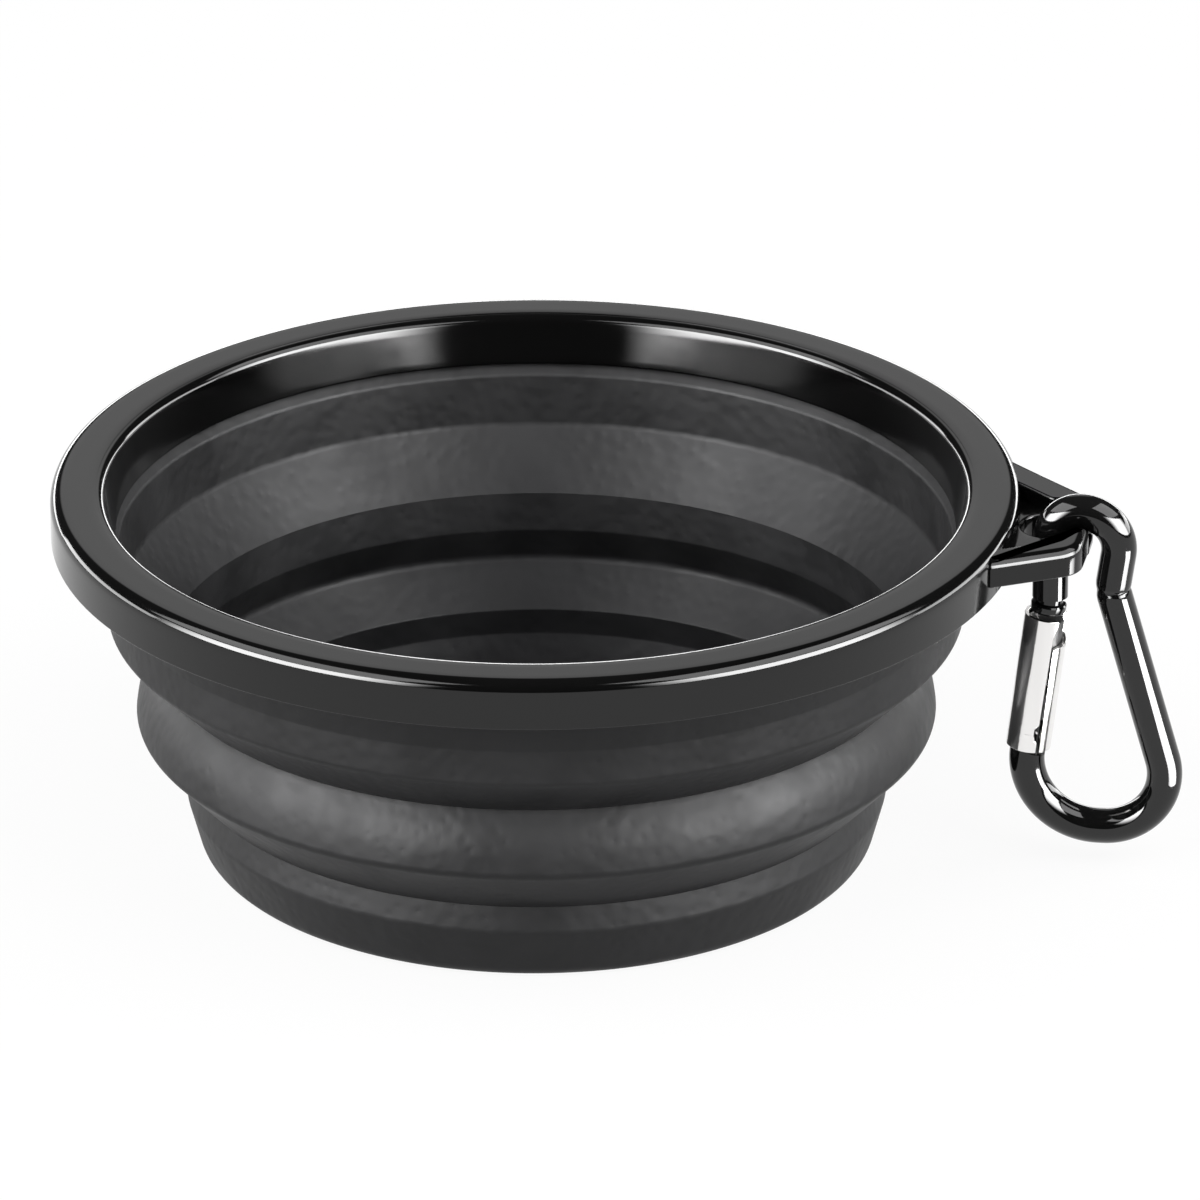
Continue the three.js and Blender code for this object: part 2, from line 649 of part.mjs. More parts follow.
function gatePin() {
  return closedSkin(crossPin(PIN_RADIUS, 2 * GATE_RADIUS - SEAT_GAP));
}

function gatePlunger() {
  return closedSkin(upright(boreRadius - SLIDE_GAP, plungerLowZ, plungerHighZ));
}

function gatePlug() {
  return closedSkin(upright(boreRadius - SLIDE_GAP, plugLowZ, plugHighZ));
}

class Helix extends THREE.Curve {
  constructor(radius, low, high, turns) {
    super();
    Object.assign(this, { radius, low, high, turns });
  }

  getPoint(t, target = new THREE.Vector3()) {
    const angle = 2 * Math.PI * this.turns * t;
    const z = this.low + (this.high - this.low) * t;
    return target.set(this.radius * Math.cos(angle), this.radius * Math.sin(angle), z);
  }
}

function gateSpring() {
  const coilRadius = boreRadius - SLIDE_GAP - 2 * SPRING_WIRE_RADIUS;
  const low = springLowZ + SPRING_WIRE_RADIUS;
  const high = springHighZ - SPRING_WIRE_RADIUS;
  const coil = new Helix(coilRadius, low, high, SPRING_TURNS);
  const steps = SPRING_TURNS * SPRING_STEPS_PER_TURN;
  printLeastGap(coil, steps);
  const section = roundSection(SPRING_WIRE_RADIUS, SPRING_SIDES);
  return closedSkin(new THREE.ExtrudeGeometry(section, { steps, extrudePath: coil }));
}

// The spring's least gap to itself, between points at least half a turn apart.
function printLeastGap(coil, steps) {
  const points = coil.getSpacedPoints(steps);
  const halfTurn = SPRING_STEPS_PER_TURN / 2;
  let least = Infinity;
  for (let i = 0; i < points.length; i += 1) {
    for (let j = i + halfTurn; j < points.length; j += 1) {
      least = Math.min(least, points[i].distanceTo(points[j]));
    }
  }
  console.log(`gate_spring least gap to itself: ${(least - 2 * SPRING_WIRE_RADIUS).toFixed(2)} mm`);
}

// Assembly

const bowl = new THREE.Group();
bowl.add(part('rim_frame', rimFrame(), glossBlack));
bowl.add(part('rim_lock_ring', lockRing(), darkPlastic));
bowl.add(part('bowl_upper_band', upperBand(), softGrey));
bowl.add(part('bowl_upper_fold', upperFold(), softGrey));
bowl.add(part('bowl_middle_band', middleBand(), softGrey));
bowl.add(part('bowl_lower_fold', lowerFold(), softGrey));
bowl.add(part('bowl_base_cup', baseCup(), softGrey));

const gate = new THREE.Group();
gate.position.set(pivot.x, 0, pivot.y);
gate.rotation.y = degToRad(GATE_LEAN);
gate.add(part('gate_sleeve', gateSleeve(), polishedAluminium));
gate.add(part('gate_pin', gatePin(), polishedAluminium));
gate.add(part('gate_plunger', gatePlunger(), steel));
gate.add(part('gate_spring', gateSpring(), steel));
gate.add(part('gate_plug', gatePlug(), darkPlastic));

const clip = new THREE.Group();
const earAngle = degToRad(EAR_AZIMUTH);
clip.position.set(bridgeX * Math.cos(earAngle), bridgeX * Math.sin(earAngle), clipAxisZ);
clip.rotation.z = earAngle;
clip.add(part('clip_body', clipBody(), blackAnodised));
clip.add(gate);
bowl.add(clip);

export default bowl;
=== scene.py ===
"""Looks of a collapsible travel bowl for a dog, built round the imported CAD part. Metres, +Z up.

The soft bowl, the rim with its ear, and the spring clip are rebuilt as fine meshes on the sizes of
the CAD part. The plunger and spring inside the gate keep their CAD shape.
"""

import math

import bmesh
import bpy
from mathutils import Matrix, Vector

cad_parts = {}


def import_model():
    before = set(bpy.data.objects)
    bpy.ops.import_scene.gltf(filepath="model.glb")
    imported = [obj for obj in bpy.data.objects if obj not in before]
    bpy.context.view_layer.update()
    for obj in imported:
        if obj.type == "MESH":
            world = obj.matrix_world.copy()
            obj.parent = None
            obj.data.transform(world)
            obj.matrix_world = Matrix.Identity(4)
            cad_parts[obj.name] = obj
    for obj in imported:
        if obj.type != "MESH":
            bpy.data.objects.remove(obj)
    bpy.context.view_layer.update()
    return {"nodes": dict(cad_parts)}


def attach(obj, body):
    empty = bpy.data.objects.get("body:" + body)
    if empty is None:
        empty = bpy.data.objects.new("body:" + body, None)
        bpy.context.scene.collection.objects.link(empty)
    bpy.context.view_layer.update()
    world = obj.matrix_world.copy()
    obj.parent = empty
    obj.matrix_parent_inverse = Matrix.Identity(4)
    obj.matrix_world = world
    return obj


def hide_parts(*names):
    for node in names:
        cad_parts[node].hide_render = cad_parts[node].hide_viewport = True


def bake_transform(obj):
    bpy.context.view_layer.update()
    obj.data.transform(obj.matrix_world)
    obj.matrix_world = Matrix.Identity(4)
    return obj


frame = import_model()

MM = 0.001

# Fineness of the meshes
RING_SEGMENTS = 192
FILLET_STEPS = 6
PROFILE_STEP = 0.9
PLAN_STEP = 0.6
BEND_STEPS = 24
WIRE_STEP = 0.45
WIRE_SIDES = 40
HOLE_SIDES = 96
SHARP_ANGLE = math.radians(32)
SLEEVE_STEPS = 96
BEVEL_SEGMENTS = 2
BEVEL_ANGLE = math.radians(50)

# Range of a noise texture that holds most of its values
NOISE_LOW = 0.3
NOISE_HIGH = 0.7

# Soft bowl, outside: [radius, height] in millimetres of each bend, from the rim down
SKIRT_Z = 45.0
RIM_TOP_Z = 51.6
FLARE = (57.7, 38.5)
UPPER_RIDGE = (57.7, 33.5)
UPPER_CREASE = (51.0, 27.0)
MIDDLE_SHOULDER = (53.5, 23.3)
MIDDLE_CURVE = 13.0
FLARE_ROUND = 1.5
UPPER_RIDGE_ROUND = 1.4
MIDDLE_RIDGE_ROUND = 1.6
BASE_RIDGE_ROUND = 2.0
MIDDLE_RIDGE = (54.2, 18.6)
LOWER_CREASE = (47.0, 11.0)
BASE_RIDGE = (47.6, 7.5)
FOOT_RADIUS = 45.6
FOOT_ROUND = 2.2

# Soft bowl, inside
CREST = (56.0, 43.3)
UPPER_CORNER = (55.6, 36.0)
UPPER_EDGE = (49.9, 27.9)
MIDDLE_EDGE = (49.5, 22.4)
MIDDLE_CORNER = (51.0, 17.6)
LOWER_EDGE = (45.5, 12.0)
BASE_CORNER = (45.7, 8.3)
FLOOR_EDGE = (43.7, 2.6)
CREST_ROUND = 0.9
UPPER_CORNER_ROUND = 1.8
MIDDLE_EDGE_ROUND = 1.0
MIDDLE_CORNER_ROUND = 1.4
LOWER_EDGE_ROUND = 0.4
BASE_CORNER_ROUND = 1.0

# Bead of the soft bowl in the rim's channel
NECK_INNER = 57.6
NECK_OUTER = 59.1
BEAD_FOOT_Z = 46.8
BEAD_TOP_Z = 49.5
BEAD_INNER = 59.0
BEAD_OUTER = 61.1

# Rim
RIM_RADIUS = 65.0
SHOULDER_ROUND = 1.7
MOUTH_RADIUS = 59.4
MOUTH_STEP = 0.15
MOUTH_CHAMFER = 0.5
MOUTH_SLOPE = 0.185
LIP_ROUND = 1.2
WALL_TOP_RADIUS = 57.9
WALL_FOOT = (56.3, 44.7)
WALL_THICKNESS = 1.0
CHANNEL_RADIUS = 63.2
CHANNEL_TOP_Z = 49.8
LOCK_INNER = 59.4
LOCK_STEP = 61.4
LOCK_OUTER = 62.9
LOCK_LIP_Z = 46.3
LOCK_TOP_Z = 49.5

# Ear, seen from above with its own axis along X
EAR_AZIMUTH = math.radians(-7.8)
EAR_LOW_Z = 47.0
EAR_TOP_Z = 50.9
EAR_WEB_Z = 48.6
EAR_SEAT_Z = 48.0
EAR_TIP_X = 75.0
EAR_CORNER_X = 74.1
EAR_FRONT_HALF = 11.9
EAR_FRONT_TAPER = 0.46
EAR_BACK_HALF = 5.1
EAR_BACK_TAPER = 0.95
EAR_FRONT_BORDER = 3.5
EAR_BACK_BORDER = 5.7
EAR_FRONT_ROUND = 4.2
EAR_SEAT_HALF = 4.3
EAR_SEAT_X = 69.6
EAR_SEAT_SLOPE = 0.8
EAR_HOLE_END_X = 72.8
EAR_HOLE_MIDDLE = (69.05, 0.3)
EAR_HOLE_HALF = (3.75, 4.0)
EAR_HOLE_ROUND = 0.45
EAR_COLLAR_WALL = 1.0
EAR_COLLAR_Z = 45.2
EAR_WIDE_ROUND = 1.4
EAR_SMALL_ROUND = 0.35
EAR_LOW_ROUND = 0.3
EAR_TIP_ROUND = 0.45

# Clip, with the centre of its small loop at the origin, X outward from the bowl and Z up
CLIP_X = 73.9
CLIP_Z = 46.4
WIRE_RADIUS = 2.4
LOOP_RADIUS = 4.6
LOOP_NOSE_ROUND = 4.0
LOOP_SPINE_ROUND = 5.2
NOSE_END = (-4.8, -10.0)
NOSE_HEAD = 1.3
NOSE_GROOVE = 0.9
NOSE_NECK_RADIUS = 1.85
WAIST = (3.8, -6.35)
WAIST_ROUND = 2.2
WAIST_KINK = 0.22
WAIST_KINK_WIDTH = 0.4
SPINE_FOOT = (14.14, -41.5)
SPINE_ROUND = 8.1
GATE_SIDE_ROUND = 9.8
CLIP_DROP = 41.5
TONGUE_HALF_WIDTH = 1.4
TONGUE_HALF_DEPTH = 1.3
TONGUE_TIP = 2.2
TONGUE_ROUND = 0.2

# Gate, with its pin at the origin and Z along the gate
GATE_LEAN = math.radians(6.5)
GATE_LENGTH = 19.5
GATE_NOSE_GAP = 0.45
GATE_SHOULDER_GAP = 0.35
GATE_OPENING = math.radians(16)
GATE_RADIUS = 3.05
GATE_BORE = 2.55
GATE_EDGE = 0.08
PIVOT_INSET = 2.0
PIN_RADIUS = 0.8
PIN_PROUD = 0.04
SEAM_AZIMUTH = math.radians(-62)
SEAM_HALF_TOP = math.radians(2.5)
SEAM_HALF_FOOT = math.radians(5)
SLOT_TOP = 3.0
SLOT_FOOT = 4.3
SLOT_SWEEP = math.radians(95)
MOUTH_FLARE = math.radians(10)
NOTCH_LOW = 1.5
NOTCH_HIGH = 4.2
NOTCH_SWEEP = math.radians(11)
INSERT_RADIUS = 2.4
INSERT_LENGTH = 4.6
INSERT_INSET = 0.5


# Mesh helpers

def rounded(corners, steps=FILLET_STEPS):
    """Points along corners (x, y, round) with each rounded corner drawn as an arc."""
    points = []
    for i, (x, y, *rest) in enumerate(corners):
        corner = Vector((x, y))
        if not rest or rest[0] == 0:
            points.append(corner)
            continue
        back = (Vector(corners[i - 1][:2]) - corner).normalized()
        ahead = (Vector(corners[(i + 1) % len(corners)][:2]) - corner).normalized()
        half = back.angle(ahead) / 2
        middle = corner + (back + ahead).normalized() * (rest[0] / math.sin(half))
        spoke = corner + back * (rest[0] / math.tan(half)) - middle
        turn = math.copysign(math.pi - 2 * half, ahead.cross(back))
        for k in range(steps + 1):
            points.append(middle + Matrix.Rotation(turn * k / steps, 2) @ spoke)
    return points


def densified(points, step, closed):
    """The same line with no stretch longer than step."""
    result = []
    count = len(points) if closed else len(points) - 1
    for i in range(count):
        a, b = points[i], points[(i + 1) % len(points)]
        parts = max(1, math.ceil((b - a).length / step))
        result += [a.lerp(b, k / parts) for k in range(parts)]
    return result if closed else result + [points[-1]]


def smooth_step(value, low, high):
    share = min(1.0, max(0.0, (value - low) / (high - low)))
    return share * share * (3 - 2 * share)


def finished(name, bm, material, transform=None):
    """The bmesh as a scene object with clean outward faces, in metres."""
    bmesh.ops.remove_doubles(bm, verts=bm.verts, dist=1e-5)
    bmesh.ops.recalc_face_normals(bm, faces=bm.faces)
    mesh = bpy.data.meshes.new(name)
    bm.to_mesh(mesh)
    bm.free()
    mesh.transform(Matrix.Scale(MM, 4) @ (transform or Matrix.Identity(4)))
    mesh.shade_smooth()
    mesh.set_sharp_from_angle(angle=SHARP_ANGLE)
    mesh.materials.append(material)
    obj = bpy.data.objects.new(name, mesh)
    bpy.context.scene.collection.objects.link(obj)
    weighted = obj.modifiers.new("even_faces", "WEIGHTED_NORMAL")
    weighted.keep_sharp = True
    return obj


def skin_loops(bm, loops, wrap):
    """Faces between neighbouring loops of vertices; with wrap the last loop joins the first."""
    count = len(loops) if wrap else len(loops) - 1
    for i in range(count):
        a, b = loops[i], loops[(i + 1) % len(loops)]
        for k in range(len(a)):
            n = (k + 1) % len(a)
            bm.faces.new((a[k], a[n], b[n], b[k]))


def lathe(corners, closed=True):
    """A profile of [radius, height, round] corners turned about the Z axis."""
    bm = bmesh.new()
    loops = []
    for p in densified(rounded(corners), PROFILE_STEP, closed):
        ring = []
        for k in range(RING_SEGMENTS):
            angle = 2 * math.pi * k / RING_SEGMENTS
            ring.append(bm.verts.new((p.x * math.cos(angle), p.x * math.sin(angle), p.y)))
        loops.append(ring)
    skin_loops(bm, loops, closed)
    return bm


def slab(bm, outline, low, high, top_rounds, low_round):
    """A plate with an outline of (x, y) points, whose top edge is rounded by its own radius at each point."""
    count = len(outline)
    inward = []
    for i in range(count):
        along = (outline[(i + 1) % count] - outline[i - 1]).normalized()
        inward.append(Vector((-along.y, along.x)))
    loops = []
    for k in range(FILLET_STEPS + 1):
        angle = math.pi / 2 * k / FILLET_STEPS
        inset, rise = low_round * (1 - math.sin(angle)), low_round * (1 - math.cos(angle))
        loops.append([bm.verts.new((*(p + n * inset), low + rise)) for p, n in zip(outline, inward)])
    for k in range(FILLET_STEPS + 1):
        angle = math.pi / 2 * k / FILLET_STEPS
        inset, drop = 1 - math.cos(angle), 1 - math.sin(angle)
        ring = []
        for p, n, r in zip(outline, inward, top_rounds):
            ring.append(bm.verts.new((*(p + n * r * inset), high - r * drop)))
        loops.append(ring)
    skin_loops(bm, loops, False)
    bm.faces.new(list(reversed(loops[0])))
    bm.faces.new(loops[-1])


def swept(bm, path, radii, sides):
    """A round bar along a line of (x, z) points in the XZ plane, with its own radius at each point."""
    loops = []
    for i, (p, radius) in enumerate(zip(path, radii)):
        along = (path[min(i + 1, len(path) - 1)] - path[max(i - 1, 0)]).normalized()
        across = Vector((-along.y, along.x))
        ring = []
        for k in range(sides):
            angle = 2 * math.pi * k / sides
            side = p + across * (radius * math.cos(angle))
            ring.append(bm.verts.new((side.x, radius * math.sin(angle), side.y)))
        loops.append(ring)
    skin_loops(bm, loops, False)
    bm.faces.new(list(reversed(loops[0])))
    bm.faces.new(loops[-1])


# Material helpers

def new_material(name, colour, roughness, metallic=0.0):
    material = bpy.data.materials.new(name)
    material.use_nodes = True
    shader = material.node_tree.nodes["Principled BSDF"]
    shader.inputs["Base Color"].default_value = (*colour, 1)
    shader.inputs["Roughness"].default_value = roughness
    shader.inputs["Metallic"].default_value = metallic
    return material, material.node_tree, shader


def noise(tree, scale, detail=3.0, stretch=(1, 1, 1)):
    """A noise texture in the piece's own space."""
    place = tree.nodes.new("ShaderNodeTexCoord")
    mapping = tree.nodes.new("ShaderNodeMapping")
    mapping.inputs["Scale"].default_value = stretch
    texture = tree.nodes.new("ShaderNodeTexNoise")
    texture.inputs["Scale"].default_value = scale
    texture.inputs["Detail"].default_value = detail
    tree.links.new(place.outputs["Object"], mapping.inputs["Vector"])
    tree.links.new(mapping.outputs["Vector"], texture.inputs["Vector"])
    return texture.outputs["Fac"]


def scales(tree, scale):
    """Small rounded cells, as in a grained mould."""
    place = tree.nodes.new("ShaderNodeTexCoord")
    cells = tree.nodes.new("ShaderNodeTexVoronoi")
    cells.feature = "SMOOTH_F1"
    cells.inputs["Scale"].default_value = scale
    tree.links.new(place.outputs["Object"], cells.inputs["Vector"])
    return cells.outputs["Distance"]


def spread(tree, value, low, high):
    """The noise's middle range mapped to values from low to high."""
    node = tree.nodes.new("ShaderNodeMapRange")
    node.inputs["From Min"].default_value = NOISE_LOW
    node.inputs["From Max"].default_value = NOISE_HIGH
    node.inputs["To Min"].default_value = low
    node.inputs["To Max"].default_value = high
    tree.links.new(value, node.inputs["Value"])
    return node.outputs["Result"]


def vary_colour(tree, shader, value, dark, light):
    ramp = tree.nodes.new("ShaderNodeValToRGB")
    ramp.color_ramp.elements[0].position = NOISE_LOW
    ramp.color_ramp.elements[0].color = (*dark, 1)
    ramp.color_ramp.elements[1].position = NOISE_HIGH
    ramp.color_ramp.elements[1].color = (*light, 1)
    tree.links.new(value, ramp.inputs["Fac"])
    tree.links.new(ramp.outputs["Color"], shader.inputs["Base Color"])


def add_bump(tree, shader, value, strength, distance):
    bump = tree.nodes.new("ShaderNodeBump")
    bump.inputs["Strength"].default_value = strength
    bump.inputs["Distance"].default_value = distance
    tree.links.new(value, bump.inputs["Height"])
    tree.links.new(bump.outputs["Normal"], shader.inputs["Normal"])


def soft_rubber():
    """Matte silicone with a very fine grain and a faint cloudiness."""
    material, tree, shader = new_material("soft_rubber", (0.014, 0.014, 0.0155), 0.54)
    vary_colour(tree, shader, noise(tree, 55), (0.011, 0.011, 0.012), (0.018, 0.018, 0.0195))
    tree.links.new(spread(tree, noise(tree, 110), 0.46, 0.62), shader.inputs["Roughness"])
    shader.inputs["Specular IOR Level"].default_value = 0.22
    add_bump(tree, shader, scales(tree, 600), 0.3, 0.0003)
    return material


def gloss_plastic():
    """Glossy black moulding with a faint unevenness in its polish."""
    material, tree, shader = new_material("rim_plastic", (0.003, 0.003, 0.003), 0.09)
    vary_colour(tree, shader, noise(tree, 30), (0.002, 0.002, 0.002), (0.004, 0.004, 0.004))
    tree.links.new(spread(tree, noise(tree, 90), 0.07, 0.11), shader.inputs["Roughness"])
    shader.inputs["Specular IOR Level"].default_value = 0.42
    add_bump(tree, shader, noise(tree, 260, 1), 0.015, 0.0003)
    return material


def satin_plastic():
    """Satin black moulding for the pieces that are mostly out of sight."""
    material, tree, shader = new_material("lock_plastic", (0.012, 0.012, 0.012), 0.4)
    vary_colour(tree, shader, noise(tree, 60), (0.010, 0.010, 0.010), (0.015, 0.015, 0.015))
    tree.links.new(spread(tree, noise(tree, 300), 0.34, 0.46), shader.inputs["Roughness"])
    add_bump(tree, shader, noise(tree, 1500, 2), 0.05, 0.0002)
    return material


def black_anodised():
    """Polished black anodising, with the drawn wire's faint waves left in its gloss."""
    material, tree, shader = new_material("clip_black", (0.006, 0.006, 0.006), 0.06)
    vary_colour(tree, shader, noise(tree, 120), (0.005, 0.005, 0.005), (0.008, 0.008, 0.008))
    tree.links.new(spread(tree, noise(tree, 200), 0.04, 0.08), shader.inputs["Roughness"])
    add_bump(tree, shader, noise(tree, 220, 1), 0.03, 0.0004)
    return material


def silver():
    """Polished rolled sheet, with fine drawing marks along the gate."""
    material, tree, shader = new_material("gate_silver", (0.86, 0.85, 0.84), 0.2, 1.0)
    vary_colour(tree, shader, noise(tree, 300, 2, (1, 1, 0.1)), (0.80, 0.79, 0.78), (0.88, 0.87, 0.86))
    tree.links.new(spread(tree, noise(tree, 900, 2, (1, 1, 0.05)), 0.10, 0.18), shader.inputs["Roughness"])
    add_bump(tree, shader, noise(tree, 1500, 2, (1, 1, 0.04)), 0.04, 0.0002)
    return material


def steel():
    """Bright drawn spring steel."""
    material, tree, shader = new_material("spring_steel", (0.5, 0.5, 0.51), 0.3, 1.0)
    vary_colour(tree, shader, noise(tree, 500), (0.42, 0.42, 0.43), (0.56, 0.56, 0.57))
    tree.links.new(spread(tree, noise(tree, 900), 0.24, 0.36), shader.inputs["Roughness"])
    add_bump(tree, shader, noise(tree, 2500, 2), 0.05, 0.0001)
    return material


RUBBER = soft_rubber()
GLOSS = gloss_plastic()
SATIN = satin_plastic()
ANODISED = black_anodised()
SILVER = silver()
STEEL = steel()


# Soft bowl: one skin in two pieces that meet in the upper crease

def upper_skin():
    bm = lathe([
        (NECK_OUTER, BEAD_FOOT_Z),
        (NECK_OUTER, SKIRT_Z),
        (*FLARE, FLARE_ROUND),
        (*UPPER_RIDGE, UPPER_RIDGE_ROUND),
        UPPER_CREASE,
        UPPER_EDGE,
        (*UPPER_CORNER, UPPER_CORNER_ROUND),
        (*CREST, CREST_ROUND),
        (NECK_INNER, SKIRT_Z),
        (BEAD_INNER, BEAD_TOP_Z),
        (BEAD_OUTER, BEAD_TOP_Z),
        (BEAD_OUTER, BEAD_FOOT_Z),
    ])
    obj = finished("bowl_upper_skin", bm, RUBBER)
    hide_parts("bowl_upper_band", "bowl_upper_fold", "bowl_middle_band")
    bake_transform(obj)


def lower_skin():
    bm = lathe([
        (0, 0),
        (FOOT_RADIUS, 0, FOOT_ROUND),
        (*BASE_RIDGE, BASE_RIDGE_ROUND),
        LOWER_CREASE,
        (*MIDDLE_RIDGE, MIDDLE_RIDGE_ROUND),
        (*MIDDLE_SHOULDER, MIDDLE_CURVE),
        UPPER_CREASE,
        UPPER_EDGE,
        (*MIDDLE_EDGE, MIDDLE_EDGE_ROUND),
        (*MIDDLE_CORNER, MIDDLE_CORNER_ROUND),
        (*LOWER_EDGE, LOWER_EDGE_ROUND),
        (*BASE_CORNER, BASE_CORNER_ROUND),
        (*FLOOR_EDGE, FOOT_ROUND),
        (0, FLOOR_EDGE[1]),
    ], closed=False)
    obj = finished("bowl_lower_skin", bm, RUBBER)
    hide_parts("bowl_lower_fold", "bowl_base_cup")
    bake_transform(obj)


# Rim

def rim_ring():
    bm = lathe([
        (RIM_RADIUS, SKIRT_Z, 0.15),
        (RIM_RADIUS, RIM_TOP_Z, SHOULDER_ROUND),
        (MOUTH_RADIUS, RIM_TOP_Z),
        (MOUTH_RADIUS - MOUTH_CHAMFER, RIM_TOP_Z - MOUTH_CHAMFER * MOUTH_SLOPE),
        (MOUTH_RADIUS - MOUTH_CHAMFER, RIM_TOP_Z - MOUTH_STEP),
        (WALL_TOP_RADIUS, RIM_TOP_Z - MOUTH_STEP, LIP_ROUND),
        (*WALL_FOOT, 0.3),
        (WALL_FOOT[0] + WALL_THICKNESS, WALL_FOOT[1]),
        (WALL_TOP_RADIUS + WALL_THICKNESS, CHANNEL_TOP_Z),
        (CHANNEL_RADIUS, CHANNEL_TOP_Z),
        (CHANNEL_RADIUS, SKIRT_Z),
    ])
    obj = finished("rim_ring", bm, GLOSS)
    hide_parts("rim_frame")
    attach(obj, "rim")


def lock_ring():
    bm = lathe([
        (LOCK_INNER, SKIRT_Z, 0.2),
        (LOCK_OUTER, SKIRT_Z, 0.3),
        (LOCK_OUTER, LOCK_TOP_Z),
        (LOCK_STEP, LOCK_TOP_Z),
        (LOCK_STEP, LOCK_LIP_Z),
        (LOCK_INNER, LOCK_LIP_Z),
    ])
    obj = finished("lock_ring_fine", bm, SATIN)
    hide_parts("rim_lock_ring")
    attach(obj, "rim")


def ear_front(x):
    return EAR_FRONT_HALF + (EAR_CORNER_X - x) * EAR_FRONT_TAPER


def ear_back(x):
    return EAR_BACK_HALF + (EAR_CORNER_X - x) * EAR_BACK_TAPER


def front_flange(bm):
    """The thick border along the ear's front, with a wide rounding on its outer edge and end."""
    root_x, end_x, bend_x = 62.6, 74.7, EAR_HOLE_END_X - 1.5
    outline = densified(rounded([
        (root_x - 0.7, -ear_front(root_x) + 1.2),
        (root_x, -ear_front(root_x) - 0.6, 0.3),
        (EAR_CORNER_X, -EAR_FRONT_HALF, EAR_FRONT_ROUND),
        (end_x, -EAR_SEAT_HALF, 0.7),
        (EAR_HOLE_END_X, -EAR_SEAT_HALF, 0.9),
        (bend_x, -ear_front(bend_x) + EAR_FRONT_BORDER, 1.6),
        (root_x - 0.2, -ear_front(root_x) + EAR_FRONT_BORDER),
    ]), PLAN_STEP, True)
    rounds = []
    for p in outline:
        depth = -p.y - (ear_front(p.x) - EAR_FRONT_BORDER / 2)
        outer = max(smooth_step(depth, 0, 1), smooth_step(p.x, bend_x, EAR_HOLE_END_X))
        rounds.append(EAR_SMALL_ROUND + (EAR_WIDE_ROUND - EAR_SMALL_ROUND) * outer)
    slab(bm, outline, EAR_LOW_Z, EAR_TOP_Z, rounds, EAR_LOW_ROUND)


def back_flange(bm):
    """The wide border along the ear's back."""
    root_x, end_x = 62.3, 74.2
    bend_x = EAR_CORNER_X - (EAR_SEAT_HALF + EAR_BACK_BORDER - EAR_BACK_HALF) / EAR_BACK_TAPER
    outline = densified(rounded([
        (root_x, ear_back(root_x) - EAR_BACK_BORDER),
        (bend_x, EAR_SEAT_HALF, 1.2),
        (end_x, EAR_SEAT_HALF, 0.3),
        (EAR_CORNER_X, EAR_BACK_HALF, 0.4),
        (root_x, ear_back(root_x)),
    ]), PLAN_STEP, True)
    slab(bm, outline, EAR_LOW_Z, EAR_TOP_Z, [EAR_SMALL_ROUND] * len(outline), EAR_LOW_ROUND)


def web_outline():
    """The edge of the ear's floor, inside the borders and the rim's skirt."""
    root_x, inset = 63.5, 1.5
    return densified(rounded([
        (root_x, -ear_front(root_x) + inset),
        (EAR_CORNER_X - 1.2, -EAR_FRONT_HALF + 2.2, 3.0),
        (74.7, -EAR_SEAT_HALF - 0.5, 1.0),
        (EAR_TIP_X, 0, 12),
        (74.2, EAR_SEAT_HALF + 0.5, 0.5),
        (root_x, ear_back(root_x) - inset),
    ]), 0.25, True)


def web_top(p):
    """The floor's height, which drops to the thin seat under the clip's loop."""
    drop = smooth_step(p.x, EAR_SEAT_X, EAR_SEAT_X + EAR_SEAT_SLOPE)
    return EAR_WEB_Z + (EAR_SEAT_Z - EAR_WEB_Z) * drop


def ear_web(bm):
    """The ear's floor with its hole, and the collar that stiffens the hole from below."""
    middle = Vector(EAR_HOLE_MIDDLE)
    corners = web_outline()
    hole, edge, heading = [], [], []
    for k in range(HOLE_SIDES):
        angle = 2 * math.pi * k / HOLE_SIDES
        ray = Vector((math.cos(angle), math.sin(angle)))
        far = max(corners, key=lambda p: (p - middle).normalized().dot(ray))
        ray = (far - middle).normalized()
        reach = 1 / math.hypot(ray.x / EAR_HOLE_HALF[0], ray.y / EAR_HOLE_HALF[1])
        hole.append(middle + ray * reach)
        edge.append(far)
        heading.append(ray)

    loops = []

    def add_loop(points, height):
        loops.append([bm.verts.new((p.x, p.y, height(p))) for p in points])

    for k in range(FILLET_STEPS + 1):
        angle = math.pi / 2 * k / FILLET_STEPS
        inset = EAR_TIP_ROUND * (1 - math.cos(angle))
        drop = EAR_TIP_ROUND * (1 - math.sin(angle))
        add_loop([e - r * inset for e, r in zip(edge, heading)], lambda p: web_top(p) - drop)
    for share in (0.75, 0.5, 0.25):
        add_loop([h.lerp(e, share) for h, e in zip(hole, edge)], web_top)
    for k in range(FILLET_STEPS + 1):
        angle = math.pi / 2 * k / FILLET_STEPS
        out = EAR_HOLE_ROUND * (1 - math.sin(angle))
        drop = EAR_HOLE_ROUND * (1 - math.cos(angle))
        add_loop([h + r * out for h, r in zip(hole, heading)], lambda p: web_top(p) - drop)
    add_loop(hole, lambda p: EAR_COLLAR_Z + EAR_LOW_ROUND)
    add_loop([h + r * EAR_LOW_ROUND for h, r in zip(hole, heading)], lambda p: EAR_COLLAR_Z)
    add_loop([h + r * EAR_COLLAR_WALL for h, r in zip(hole, heading)], lambda p: EAR_COLLAR_Z)
    add_loop([h + r * EAR_COLLAR_WALL for h, r in zip(hole, heading)], lambda p: EAR_LOW_Z)
    add_loop(edge, lambda p: EAR_LOW_Z)
    skin_loops(bm, loops, True)


